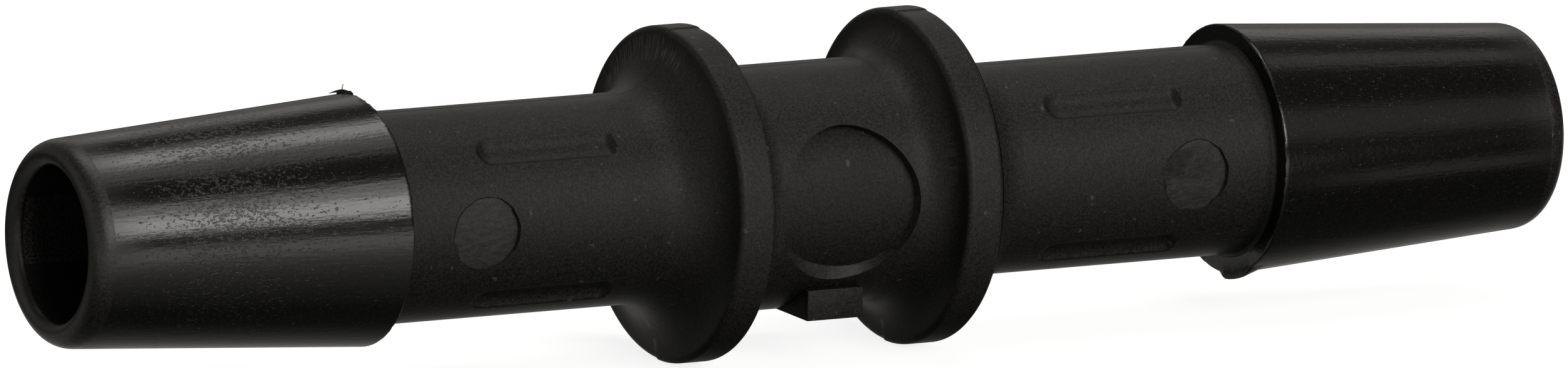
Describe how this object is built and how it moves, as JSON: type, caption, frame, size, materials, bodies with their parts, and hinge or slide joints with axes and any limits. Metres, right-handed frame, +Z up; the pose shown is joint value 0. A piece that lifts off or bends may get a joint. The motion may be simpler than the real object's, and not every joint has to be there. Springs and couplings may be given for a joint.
{
  "type": "barbed tube coupling",
  "caption": "Straight barbed coupling that joins small irrigation tube end to end, with stop flanges round a plain hub and a through bore.",
  "frame": {"origin": "on the tube axis, midway between the two ends", "axes": "+X along the tube axis; -Y is the side that carries the ejector marks and the insert mark; -Z is the side with the flat moulding pad, so +Z is up as the part is seen"},
  "size_m": [0.0372, 0.0074, 0.0074],
  "materials": {
    "black_plastic": "finely grained matte black, with the barbs smoother and glossier"
  },
  "bodies": {
    "root": {"coupling_body": "black_plastic"}
  },
  "joints": []
}
